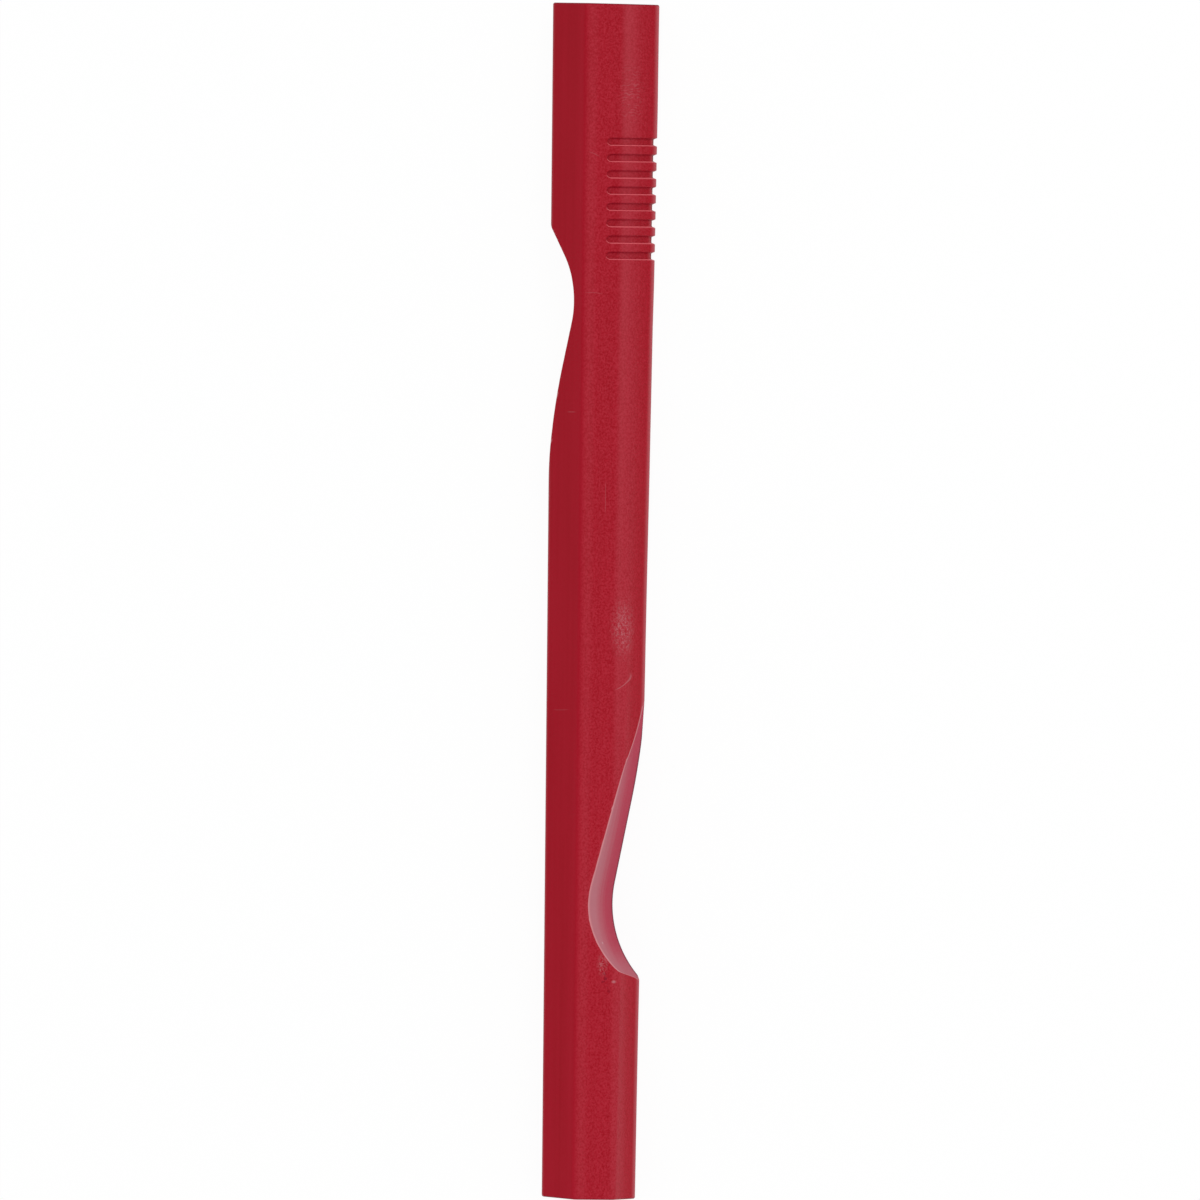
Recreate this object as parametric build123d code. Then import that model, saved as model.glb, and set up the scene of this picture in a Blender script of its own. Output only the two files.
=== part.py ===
"""Hand groove scraper: a one-piece plastic stick with a roof-shaped section.

The bar lies on its flat back along Y. The wide end is at +Y and the slim end at -Y. The ridge
is on top, a flat facet falls away on each side of it, and the right wall leans out to the back.
A finger notch is cut straight through each side wall, from ridge side to back, and a row of
plain grip grooves runs over the right shoulder near the wide end.
"""
import os
from math import atan2, cos, degrees, hypot, radians, sin, tan

from build123d import *

# Bar, in millimetres and degrees
LENGTH = 180.0
RIDGE_HEIGHT = 11.0
RIDGE_R = 0.8
LEFT_SLOPE = 30.0
RIGHT_SLOPE = 43.0
LEFT_SHOULDER_R = 1.5
BACK_CORNER_R = 0.7
END_EDGE = 0.3
BACK_DROP = 0.02

# Wide end, measured sideways from the ridge
WIDE_LEFT = 7.5
WIDE_SHOULDER = 5.8
WIDE_BASE = 7.8
WIDE_SHOULDER_R = 7.6

# Slim end, measured sideways from the ridge
SLIM_LEFT = 7.2
SLIM_SHOULDER = 4.75
SLIM_BASE = 5.7
SLIM_SHOULDER_R = 1.2

# Finger notches: each has a round bottom, a steep flank towards its own end of the bar and a
# gentle flank that runs out into the wall towards the middle
NOTCH_RUNOUT = 0.02
WIDE_NOTCH_FROM_END = 44.8
WIDE_NOTCH_DEPTH = 5.28
WIDE_NOTCH_BOTTOM_R = 12.3
WIDE_NOTCH_STEEP = 34.0
WIDE_NOTCH_GENTLE = 15.9
WIDE_NOTCH_CORNER_R = 2.6
WIDE_NOTCH_TAIL_R = 80.0
SLIM_NOTCH_FROM_END = 44.5
SLIM_NOTCH_DEPTH = 4.85
SLIM_NOTCH_BOTTOM_R = 16.0
SLIM_NOTCH_STEEP = 42.5
SLIM_NOTCH_GENTLE = 11.2
SLIM_NOTCH_CORNER_R = 2.0
SLIM_NOTCH_TAIL_R = 110.0

# Grip grooves over the right shoulder
GROOVE_COUNT = 8
GROOVE_PITCH = 2.45
GROOVE_WIDTH = 1.15
GROOVE_DEPTH = 0.55
GROOVE_FIRST_FROM_END = 20.8
GROOVE_INNER_END = 2.6

# Every cutter reaches this far past the surface that it cuts
OVERRUN = 3.0

HALF = LENGTH / 2


def wall_lean(shoulder, base):
    """Angle between the back and the right wall, inside the material, in radians."""
    return atan2(RIDGE_HEIGHT - shoulder * tan(radians(RIGHT_SLOPE)), base - shoulder)


# The ridge stands aside from the middle, so that the box around the bar is centred
WIDE_REACH = WIDE_BASE + BACK_CORNER_R * (1 - 1 / tan(wall_lean(WIDE_SHOULDER, WIDE_BASE) / 2))
RIDGE_X = (WIDE_LEFT - WIDE_REACH) / 2


def section_corners(left, shoulder, base):
    """Sharp corners of one section, from the left foot clockwise over the ridge."""
    return [
        (-left, 0),
        (-left, RIDGE_HEIGHT - left * tan(radians(LEFT_SLOPE))),
        (0, RIDGE_HEIGHT),
        (shoulder, RIDGE_HEIGHT - shoulder * tan(radians(RIGHT_SLOPE))),
        (base, 0),
    ]


def shrunk(corners, insets):
    """The same corners with each side, from the left wall clockwise, moved inwards by its inset."""
    lines = []
    for (x0, z0), (x1, z1), inset in zip(corners, corners[1:] + corners[:1], insets):
        run = hypot(x1 - x0, z1 - z0)
        nx, nz = (z1 - z0) / run, -(x1 - x0) / run
        lines.append((nx, nz, nx * x0 + nz * z0 + inset))
    moved = []
    for (ax, az, a), (bx, bz, b) in zip(lines[-1:] + lines[:-1], lines):
        det = ax * bz - az * bx
        moved.append(((a * bz - b * az) / det, (ax * b - bx * a) / det))
    return moved


def rounded_section(corners, radii, y):
    """Wire through the corners at this station, each corner replaced by a tangent arc."""
    stations = []
    count = len(corners)
    for i, (x, z) in enumerate(corners):
        before, after = corners[i - 1], corners[(i + 1) % count]
        to_before = Vector(before[0] - x, before[1] - z).normalized()
        to_after = Vector(after[0] - x, after[1] - z).normalized()
        half_angle = radians(to_before.get_angle(to_after)) / 2
        reach = radii[i] / tan(half_angle)
        corner = Vector(x, z)
        bisector = (to_before + to_after).normalized()
        depth = radii[i] / sin(half_angle) - radii[i]
        stations.append((corner + to_before * reach, corner + bisector * depth, corner + to_after * reach))
    at = [[(RIDGE_X + p.X, y, p.Y) for p in points] for points in stations]
    edges = []
    for i, (start, middle, end) in enumerate(at):
        edges.append(ThreePointArc(start, middle, end))
        edges.append(Line(end, at[(i + 1) % count][0]))
    return Wire(edges)


def section(y, inset, back_inset):
    """The section at this station, with its skin and its back moved inwards by their insets."""
    share = (y + HALF) / LENGTH
    left, shoulder, base, shoulder_r = (
        slim + (wide - slim) * share
        for slim, wide in (
            (SLIM_LEFT, WIDE_LEFT),
            (SLIM_SHOULDER, WIDE_SHOULDER),
            (SLIM_BASE, WIDE_BASE),
            (SLIM_SHOULDER_R, WIDE_SHOULDER_R),
        )
    )
    corners = shrunk(section_corners(left, shoulder, base), [inset] * 4 + [back_inset])
    foot_r = BACK_CORNER_R - max(back_inset, 0)
    upper_radii = [radius - inset for radius in (LEFT_SHOULDER_R, RIDGE_R, shoulder_r)]
    return rounded_section(corners, [foot_r, *upper_radii, foot_r], y)


def bar():
    """The tapering bar with its broken end edges. It is cut flat along the back."""
    sections = [
        section(-HALF, END_EDGE, END_EDGE),
        section(END_EDGE - HALF, 0, -BACK_DROP),
        section(HALF - END_EDGE, 0, -BACK_DROP),
        section(HALF, END_EDGE, END_EDGE),
    ]
    below = Pos(0, 0, -OVERRUN) * Box(2 * (WIDE_BASE + OVERRUN), LENGTH + 2 * OVERRUN, 2 * OVERRUN)
    return Solid.make_loft(sections, ruled=True) - below


def core():
    """The bar less the grooves' depth, on a back dropped by a hair so that the real back stays whole."""
    return Solid.make_loft([section(y, GROOVE_DEPTH, -BACK_DROP) for y in (-HALF, HALF)], ruled=True)


def notch_cutter(depth, bottom_r, steep_slope, gentle_slope, corner_r, tail_r):
    """Notch outline on a wall that runs along X, with the deepest point at X = 0, cut along Z.

    +X points to the steep flank and +Y into the material, so the wall is the line Y = 0.
    """
    steep, gentle = radians(steep_slope), radians(gentle_slope)
    wall = -NOTCH_RUNOUT

    def bottom(angle):
        return bottom_r * sin(angle), depth - bottom_r * (1 - cos(angle))

    steep_foot, gentle_foot = bottom(steep), bottom(-gentle)
    steep_run = (steep_foot[1] - wall - corner_r * (1 - cos(steep))) / tan(steep)
    corner_x = steep_foot[0] + steep_run + corner_r * sin(steep)
    gentle_run = (gentle_foot[1] - wall - tail_r * (1 - cos(gentle))) / tan(gentle)
    tail_x = gentle_foot[0] - gentle_run - tail_r * sin(gentle)

    def corner(angle):
        return corner_x - corner_r * sin(angle), wall + corner_r * (1 - cos(angle))

    def tail(angle):
        return tail_x + tail_r * sin(angle), wall + tail_r * (1 - cos(angle))

    outline = [
        Line((tail_x, -OVERRUN), tail(0)),
        ThreePointArc(tail(0), tail(gentle / 2), tail(gentle)),
        Line(tail(gentle), gentle_foot),
        ThreePointArc(gentle_foot, bottom((steep - gentle) / 2), steep_foot),
        Line(steep_foot, corner(steep)),
        ThreePointArc(corner(steep), corner(steep / 2), corner(0)),
        Line(corner(0), (corner_x, -OVERRUN)),
        Line((corner_x, -OVERRUN), (tail_x, -OVERRUN)),
    ]
    height = RIDGE_HEIGHT + 2 * OVERRUN
    return Pos(0, 0, -OVERRUN) * extrude(make_face(outline), height)


def notches():
    """One cutter in each side wall, its wall line laid on the foot of that wall."""
    left_taper = degrees(atan2(WIDE_LEFT - SLIM_LEFT, LENGTH))
    right_taper = degrees(atan2(WIDE_BASE - SLIM_BASE, LENGTH))
    wide_share = WIDE_NOTCH_FROM_END / LENGTH
    slim_share = SLIM_NOTCH_FROM_END / LENGTH
    left_x = RIDGE_X - WIDE_LEFT + (WIDE_LEFT - SLIM_LEFT) * wide_share
    right_x = RIDGE_X + SLIM_BASE + (WIDE_BASE - SLIM_BASE) * slim_share
    wide_notch = notch_cutter(
        WIDE_NOTCH_DEPTH, WIDE_NOTCH_BOTTOM_R, WIDE_NOTCH_STEEP,
        WIDE_NOTCH_GENTLE, WIDE_NOTCH_CORNER_R, WIDE_NOTCH_TAIL_R,
    ).mirror(Plane.XZ)
    slim_notch = notch_cutter(
        SLIM_NOTCH_DEPTH, SLIM_NOTCH_BOTTOM_R, SLIM_NOTCH_STEEP,
        SLIM_NOTCH_GENTLE, SLIM_NOTCH_CORNER_R, SLIM_NOTCH_TAIL_R,
    ).mirror(Plane.XZ)
    return [
        Pos(left_x, HALF - WIDE_NOTCH_FROM_END, 0) * Rot(Z=90 + left_taper) * wide_notch,
        Pos(right_x, SLIM_NOTCH_FROM_END - HALF, 0) * Rot(Z=-90 - right_taper) * slim_notch,
    ]


def grooves():
    """Round-ended slots over the right shoulder and wall, their floors at one depth below the skin."""
    inner = RIDGE_X + GROOVE_INNER_END
    outer = RIDGE_X + WIDE_BASE + OVERRUN
    spared = core()
    cutters = []
    for i in range(GROOVE_COUNT):
        y = HALF - GROOVE_FIRST_FROM_END - i * GROOVE_PITCH
        plan = Pos((inner + outer) / 2, y) * SlotOverall(outer - inner, GROOVE_WIDTH)
        slot = Pos(0, 0, -OVERRUN) * extrude(plan, RIDGE_HEIGHT + 2 * OVERRUN)
        cutters.append(slot - spared)
    return cutters


def scraper_bar():
    """The finished bar: the bar itself less two notches and the grip grooves."""
    body = Part() + bar()
    for cutter in notches() + grooves():
        body -= cutter
    return body


os.makedirs("parts", exist_ok=True)
export_step(scraper_bar(), "parts/scraper_bar.step")
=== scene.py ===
"""Looks of a hand groove scraper: a one-piece red plastic bar with two milled finger notches.

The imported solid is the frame. A finer skin, worked out as one grid of points, stands for it: it has
the broken edges, the soft groove edges and the small nicks of the real bar, and it marks its milled
faces. Sizes in the classes are millimetres and degrees, as on a drawing; meshes go in as metres.
"""
from __future__ import annotations

import logging
import math
from dataclasses import astuple, dataclass
from enum import Enum
from functools import reduce

import bmesh
import bpy
import numpy as np
from mathutils import Matrix, Vector

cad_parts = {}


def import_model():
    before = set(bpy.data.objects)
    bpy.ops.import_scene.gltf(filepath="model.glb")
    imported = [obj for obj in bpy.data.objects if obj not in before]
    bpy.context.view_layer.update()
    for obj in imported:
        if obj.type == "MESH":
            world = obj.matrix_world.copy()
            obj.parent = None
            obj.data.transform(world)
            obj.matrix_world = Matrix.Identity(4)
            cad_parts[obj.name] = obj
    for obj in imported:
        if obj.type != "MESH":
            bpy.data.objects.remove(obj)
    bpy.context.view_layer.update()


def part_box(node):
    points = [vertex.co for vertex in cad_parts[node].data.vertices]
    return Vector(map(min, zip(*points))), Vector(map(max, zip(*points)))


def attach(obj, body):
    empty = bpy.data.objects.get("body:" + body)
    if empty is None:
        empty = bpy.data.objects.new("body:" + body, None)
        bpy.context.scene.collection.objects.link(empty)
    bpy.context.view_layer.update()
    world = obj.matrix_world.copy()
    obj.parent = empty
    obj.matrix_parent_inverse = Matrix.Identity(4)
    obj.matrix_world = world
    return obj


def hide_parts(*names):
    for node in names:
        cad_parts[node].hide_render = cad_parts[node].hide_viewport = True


MM = 0.001
NODE = "scraper_bar"
SLOT = "red_plastic"
BODY = "root"

# Points on each arc of the section, and on the straight stretch from it to the next one
POINTS = {
    "left_foot": (6, 12), "left_edge": (5, 0), "left_shoulder": (8, 20), "ridge": (9, 34),
    "right_shoulder": (15, 10), "right_edge": (6, 12), "right_foot": (6, 0),
}
# Point attributes that the skin carries and the finish reads; edge, shoulder and sunk also carry
# painted highlight and shade
MARKS = ("milled", "edge", "shoulder", "sunk", "end")
# Slack when two angles are compared, in radians
SLACK = 1e-6
# Points nearer than the first are welded, and edges shorter than the second are taken out
WELD, SLIVER = 1e-4, 1e-5
WANDER_DRAWS = 4096
# Dark red: painted shade in the grooves and on the broken end edges, and the dark specks' own colour
DARK_RED = (0.13, 0.001, 0.012)

Array = np.ndarray
Socket = bpy.types.NodeSocket
Outputs = bpy.types.bpy_prop_collection
Amount = Socket | float
Colour = tuple[float, float, float]
Place = tuple[float, float, float]
Span = tuple[float, float]
Hump = tuple[float, float, float, float]

log = logging.getLogger("scraper")


class Wall(Enum):
    """The side wall that a notch is cut in. The value is the sign of that wall's X."""

    LEFT = -1
    RIGHT = 1


def ramp(values: Array, start: float, end: float) -> Array:
    """Smooth step from 0 at start to 1 at end: t squared times (3 - 2 t), with t held in 0 to 1.

    Args:
        values: Where to work it out.
        start: Value that gives 0.
        end: Value that gives 1.

    Returns:
        The smooth step, with the shape of values.
    """
    t = np.clip((values - start) / (end - start), 0.0, 1.0)
    return t * t * (3.0 - 2.0 * t)


def hump(values: Array, start: float, full: float, fall: float, end: float) -> Array:
    """Smooth rise to 1 and fall back to 0: one smooth step, less where a later one has set in."""
    return ramp(values, start, full) * (1.0 - ramp(values, fall, end))


def eased(values: Array, knots: tuple[Span, ...]) -> Array:
    """Smooth curve through the knots, level at each of them.

    Args:
        values: Where to work it out.
        knots: Place and height of each knot, with rising places.

    Returns:
        The curve's height at each value.
    """
    height = np.full_like(values, knots[0][1])
    for (start, low), (end, high) in zip(knots, knots[1:]):
        height = height + (high - low) * ramp(values, start, end)
    return height


def wander(values: Array, pitch: float, seed: int) -> Array:
    """Smooth random curve between -1 and 1: one seeded number for each pitch, joined by cosines.

    Args:
        values: Where to work it out, along one line.
        pitch: Distance between two of its random numbers.
        seed: Seed of those numbers.

    Returns:
        The curve's height at each value.
    """
    draws = np.random.default_rng(seed).uniform(-1.0, 1.0, WANDER_DRAWS)
    place = values / pitch
    cell = np.floor(place).astype(int)
    blend = 0.5 - 0.5 * np.cos(np.pi * (place - cell))
    return draws[cell % draws.size] * (1.0 - blend) + draws[(cell + 1) % draws.size] * blend


def between(start: Array, end: Array, count: int) -> Array:
    """Columns at even steps of the way from one column to another, both of them left out."""
    return start + (end - start) * (np.arange(1, count + 1) / (count + 1))


def stand(name: str, data: bpy.types.ID) -> bpy.types.Object:
    """Puts a new object with this name and data in the scene.

    Args:
        name: The object's name.
        data: Its mesh, lamp or camera.

    Returns:
        The object, at the origin.
    """
    made = bpy.data.objects.new(name, data)
    bpy.context.scene.collection.objects.link(made)
    return made


@dataclass(frozen=True)
class Arc:
    """A round stretch of the section, with one entry for each row: centre, radius and the normals."""

    x: Array
    z: Array
    radius: Array
    first: Array
    last: Array

    def points(self, count: int, inset: Array) -> tuple[Array, Array, Array]:
        """Evenly turned points: centre plus (radius less inset) times the normal's cosine and sine.

        Args:
            count: Points in each row, both ends included.
            inset: How far each row lies below the skin.

        Returns:
            X, Z and the normal's angle, each with rows by points.
        """
        share = np.linspace(0.0, 1.0, count)[None, :]
        angle = self.first[:, None] + (self.last - self.first)[:, None] * share
        reach = (self.radius - inset)[:, None]
        return self.x[:, None] + reach * np.cos(angle), self.z[:, None] + reach * np.sin(angle), angle


@dataclass(frozen=True)
class Side:
    """A straight side of the section in each row: its outward normal's angle and its offset."""

    normal: Array
    offset: Array

    @classmethod
    def through(cls, normal: Array, x: Array | float, z: Array | float) -> Side:
        """The side through a point: the offset is the dot product of the point and the normal."""
        return cls(normal, np.cos(normal) * x + np.sin(normal) * z)

    def circle(self, other: Side, radius: Array | float) -> tuple[Array, Array]:
        """Centre of the circle that touches this side and another from inside.

        The centre solves the equations of the two sides with both offsets reduced by the radius.

        Args:
            other: The other side.
            radius: Radius of the circle.

        Returns:
            X and Z of the centre.
        """
        a, b = self.offset - radius, other.offset - radius
        turn = np.sin(other.normal - self.normal)
        x = (a * np.sin(other.normal) - b * np.sin(self.normal)) / turn
        z = (b * np.cos(self.normal) - a * np.cos(other.normal)) / turn
        return x, z


@dataclass(frozen=True)
class EndSection:
    """Widths of the section at one end, sideways from the ridge, and the right shoulder's radius."""

    left: float
    shoulder: float
    base: float
    shoulder_r: float


@dataclass(frozen=True)
class Notch:
    """A finger notch cut straight from ridge side to back: round bottom, steep and gentle flank."""

    wall: Wall
    from_end: float
    depth: float
    bottom_r: float
    steep: float
    gentle: float
    corner_r: float
    tail_r: float
    runout: float = 0.02

    @property
    def end_sign(self) -> int:
        """Sign of Y at the notch's own end of the bar: the left wall's notch is by the wide end."""
        return -self.wall.value

    def bottom_edge(self, flank: float) -> float:
        """Depth where the round bottom turns into a flank of this slope, in radians."""
        return self.depth - self.bottom_r * (1 - math.cos(flank))

    def flank_reach(self, slope: float, rounding: float) -> float:
        """How far from the deepest point a flank is rounded out into the wall.

        Args:
            slope: The flank's slope, in degrees.
            rounding: Radius that rounds it out.

        Returns:
            The sum of the bottom's share, the straight flank's and the rounding's.
        """
        flank = math.radians(slope)
        drop = self.bottom_edge(flank) + self.runout - rounding * (1 - math.cos(flank))
        return self.bottom_r * math.sin(flank) + drop / math.tan(flank) + rounding * math.sin(flank)

    def stretches(self, half: float) -> tuple[Span, Span]:
        """The stretches of Y that need close rows.

        Args:
            half: Half the bar's length.

        Returns:
            The whole notch, and the corner of its steep flank, each as a lower and an upper Y.
        """
        deepest = self.end_sign * (half - self.from_end)
        steep_reach = self.flank_reach(self.steep, self.corner_r)
        gentle_end = deepest - self.end_sign * self.flank_reach(self.gentle, self.tail_r)
        low, high = sorted((gentle_end, deepest + self.end_sign * steep_reach))
        middle = steep_reach - self.corner_r * math.sin(math.radians(self.steep)) / 2
        corner = deepest + self.end_sign * middle
        return (low, high), (corner - self.corner_r, corner + self.corner_r)

    def cut(self, y: Array, half: float) -> Array:
        """Depth of the cut behind the wall line at each Y.

        With t measured from the deepest point, positive towards the notch's own end, the bottom is
        a circle about the axis, the flanks are its tangents, and a second circle that touches the
        wall line rounds each flank out.

        Args:
            y: Stations along the bar.
            half: Half the bar's length.

        Returns:
            The depth, never under zero.
        """
        t = self.end_sign * y - (half - self.from_end)
        steep, gentle = math.radians(self.steep), math.radians(self.gentle)
        low, high = -self.bottom_r * math.sin(gentle), self.bottom_r * math.sin(steep)
        depth = self.depth - self.bottom_r + np.sqrt(np.maximum(self.bottom_r**2 - t**2, 0.0))
        depth = np.where(t < low, self.bottom_edge(gentle) + (t - low) * math.tan(gentle), depth)
        depth = np.where(t > high, self.bottom_edge(steep) - (t - high) * math.tan(steep), depth)
        to_steep_end = self.flank_reach(self.steep, self.corner_r) - t
        to_gentle_end = t + self.flank_reach(self.gentle, self.tail_r)
        rounded = ((to_steep_end, self.corner_r, steep), (to_gentle_end, self.tail_r, gentle))
        for to_end, radius, flank in rounded:
            run = np.clip(to_end, 0.0, radius)
            rounding = -self.runout + radius - np.sqrt(radius**2 - run**2)
            depth = np.where(to_end < radius * math.sin(flank), rounding, depth)
        return np.maximum(depth, 0.0)


@dataclass(frozen=True)
class GripGrooves:
    """Plain parallel grooves over the right shoulder and wall, each with a round inner end.

    The last four values paint shade and highlight on them: the rims' change from upper to lower lies
    within rim_turn of the centre line, the floor and the upper rims get so much painted shade, and the
    lower rims so much painted highlight.
    """

    count: int = 8
    pitch: float = 2.45
    width: float = 1.15
    depth: float = 0.55
    first_from_end: float = 20.8
    inner_end: float = 2.6
    edge: float = 0.17
    rim_turn: float = 0.3
    floor_painted_shade: float = 0.12
    upper_painted_shade: float = 0.88
    lower_painted_highlight: float = 1.12

    def stretch(self, half: float) -> Span:
        """Lowest and highest Y that a groove reaches."""
        first = half - self.first_from_end
        return first - (self.count - 1) * self.pitch - self.width, first + self.width

    def aside(self, y: Array, half: float) -> Array:
        """Distance from the nearest groove's centre line, positive towards the wide end."""
        order = np.clip(np.round((half - self.first_from_end - y) / self.pitch), 0, self.count - 1)
        return y - (half - self.first_from_end - order * self.pitch)

    def sunk(self, x: Array, y: Array, half: float) -> Array:
        """Depth below the skin: full inside a slot, nothing outside, a smooth step over its edge.

        A slot is all within half a width of a centre line that starts half a width past the inner
        end and runs outwards for ever.

        Args:
            x: Distance from the ridge, towards the right wall.
            y: Stations along the bar, of the same shape.
            half: Half the bar's length.

        Returns:
            The depth at each point.
        """
        inner = np.minimum(x - self.inner_end - self.width / 2, 0.0)
        away = np.hypot(inner, self.aside(y, half))
        return self.depth * ramp(-away, -self.width / 2 - self.edge / 2, -self.width / 2 + self.edge)

    def shade(self, sunk: Array, y: Array, half: float) -> Array:
        """Painted shade of the grooves, or below zero their painted highlight.

        With s the share of the full depth, the floor counts as s and the rim as 4 s (1 - s).

        Args:
            sunk: Depth at each point.
            y: Stations along the bar, of the same shape.
            half: Half the bar's length.

        Returns:
            Above zero on floors and upper rims, and below zero on lower rims.
        """
        share = sunk / self.depth
        rim = 4.0 * share * (1.0 - share)
        upper = ramp(self.aside(y, half), -self.rim_turn, self.rim_turn)
        rims = self.upper_painted_shade * rim * upper - self.lower_painted_highlight * rim * (1.0 - upper)
        return self.floor_painted_shade * share + rims


@dataclass(frozen=True)
class Nick:
    """A small dent in the edge between the slim end's notch and the ridge side."""

    y: float
    length: float
    size: float


@dataclass(frozen=True)
class BarSkin:
    """The whole bar as one closed skin: a section worked out for every row, and two end caps."""

    half: float
    ridge_x: float

    # The section and its cuts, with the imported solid's sizes
    ridge_height: float = 11.0
    ridge_r: float = 0.8
    left_slope: float = 30.0
    right_slope: float = 43.0
    left_shoulder_r: float = 1.5
    back_corner_r: float = 0.7
    end_edge_r: float = 0.3
    wide: EndSection = EndSection(left=7.5, shoulder=5.8, base=7.8, shoulder_r=7.6)
    slim: EndSection = EndSection(left=7.2, shoulder=4.75, base=5.7, shoulder_r=1.2)
    wide_notch: Notch = Notch(
        Wall.LEFT, from_end=44.8, depth=5.28, bottom_r=12.3, steep=34.0, gentle=15.9,
        corner_r=2.6, tail_r=80.0,
    )
    slim_notch: Notch = Notch(
        Wall.RIGHT, from_end=44.5, depth=4.85, bottom_r=16.0, steep=42.5, gentle=11.2,
        corner_r=2.0, tail_r=110.0,
    )
    grooves: GripGrooves = GripGrooves()

    # Hand-broken notch edges: waves as pitch and share of the radius, and the depth of cut over
    # which they take the place of the bar's own corners
    broken_edge_r: float = 0.17
    back_edge_r: float = 0.12
    edge_waves: tuple[Span, ...] = ((1.3, 0.22), (0.45, 0.16))
    left_seed: int = 11
    right_seed: int = 23
    edge_fade: float = 0.06
    foot_fade: float = 0.6
    nicks: tuple[Nick, ...] = (Nick(-57.2, 0.7, 0.16), Nick(-55.9, 0.5, 0.1), Nick(-51.3, 0.6, 0.12))

    # How the real bar strays from the solid: the right wall's bow as Y and X, and the ends' tilt
    right_bow: tuple[Span, ...] = (
        (-89.0, 0.08), (-66.0, 0.03), (-58.0, 0.04), (-44.0, -0.06), (0.0, -0.06),
        (22.0, 0.01), (40.0, 0.04), (49.0, 0.13), (72.0, 0.14), (89.0, 0.04),
    )
    slim_tilt: float = -1.1
    wide_tilt: float = -0.75
    tilt_reach: float = 6.0

    # Marks: the left cut's depth and the right cut wall's height over which milling shows, and the
    # strength and place of the painted rim highlights low on the right wall and on the left shoulder,
    # and of the rubbed right shoulder with its painted highlight
    left_milled: Span = (0.0, 0.2)
    right_milled: Span = (0.05, 0.3)
    shoulder_rub_and_highlight_hump: Hump = (-0.8, 0.4, 1.3, 3.8)
    foot_rim_highlight: float = 0.48
    foot_rim_highlight_heights: Span = (0.55, 1.8)
    left_rim_highlight: float = 0.15
    left_rim_highlight_angles: Hump = (121.0, 140.0, 158.0, 178.0)
    broken_end: float = 0.5

    # The mesh
    trial_rows: int = 30001
    plain_spacing: float = 0.9
    notch_spacing: float = 0.42
    corner_spacing: float = 0.12
    groove_spacing: float = 0.115
    spacing_growth: float = 0.2
    end_rows: int = 6
    back_columns: int = 18
    cap_rings: int = 4
    ring_power: float = 0.8
    rim_share: float = 0.02

    def stations(self) -> Array:
        """Row places between the rounded end edges, close together where the form turns sharply.

        The wished spacing grows with the distance from each zone; rows are its inverse, summed up
        along the bar and cut into equal steps.

        Returns:
            Y of each row, rising.
        """
        y = np.linspace(-self.half + self.end_edge_r, self.half - self.end_edge_r, self.trial_rows)
        zones = [(self.grooves.stretch(self.half), self.groove_spacing)]
        for notch in (self.wide_notch, self.slim_notch):
            whole, corner = notch.stretches(self.half)
            zones += [(whole, self.notch_spacing), (corner, self.corner_spacing)]
        spacing = np.full(y.shape, self.plain_spacing)
        for (low, high), wished in zones:
            outside = np.maximum(np.maximum(low - y, y - high), 0.0)
            spacing = np.minimum(spacing, wished + self.spacing_growth * outside)
        rows = np.concatenate([[0.0], np.cumsum((y[1] - y[0]) / spacing[1:])])
        return np.interp(np.linspace(0.0, rows[-1], math.ceil(rows[-1])), rows, y)

    def edge_break(self, y: Array, seed: int) -> Array:
        """Radius of a broken notch edge: it wanders along the edge and swells to a bell at each nick.

        Args:
            y: Stations along the bar.
            seed: Seed of its waves.

        Returns:
            The radius at each station.
        """
        waves = (
            share * wander(y, pitch, seed + order)
            for order, (pitch, share) in enumerate(self.edge_waves)
        )
        radius = self.broken_edge_r * sum(waves, 1.0)
        for nick in self.nicks:
            radius = radius + nick.size * np.exp(-(((y - nick.y) / (nick.length / 2)) ** 2))
        return radius

    def foot_radius(self, cut: Array) -> Array:
        """Radius where a side wall meets the back: the bar's own, or a broken edge behind a notch."""
        broken = ramp(cut, 0.0, self.foot_fade)
        return self.back_corner_r + (self.back_edge_r - self.back_corner_r) * broken

    def chain(self, y: Array) -> dict[str, Arc]:
        """The section's round stretches at every row, from the left foot clockwise over the ridge.

        Sides are straight lines given by a normal and an offset, and widths go in a straight line
        from one end section to the other.

        Args:
            y: Stations along the bar.

        Returns:
            The arcs by name, in order.
        """
        share = (y + self.half) / (2 * self.half)
        left, shoulder, base, shoulder_r = (
            slim + (wide - slim) * share for slim, wide in zip(astuple(self.slim), astuple(self.wide))
        )
        base = base + eased(y, self.right_bow)
        level = np.zeros_like(y)
        left_up = level + math.radians(90.0 + self.left_slope)
        right_up = level + math.radians(90.0 - self.right_slope)
        lean = np.arctan2(
            base - shoulder, self.ridge_height - shoulder * math.tan(math.radians(self.right_slope))
        )
        left_facet = Side.through(left_up, self.ridge_x, self.ridge_height)
        right_facet = Side.through(right_up, self.ridge_x, self.ridge_height)
        right_wall = Side.through(lean, self.ridge_x + base, 0.0)
        ridge = Arc(
            *left_facet.circle(right_facet, self.ridge_r), level + self.ridge_r, left_up, right_up
        )
        return {
            **self.left_arcs(y, self.ridge_x - left, left_facet),
            "ridge": ridge,
            **self.right_arcs(y, self.ridge_x + base, right_facet, right_wall, shoulder_r),
        }

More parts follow.
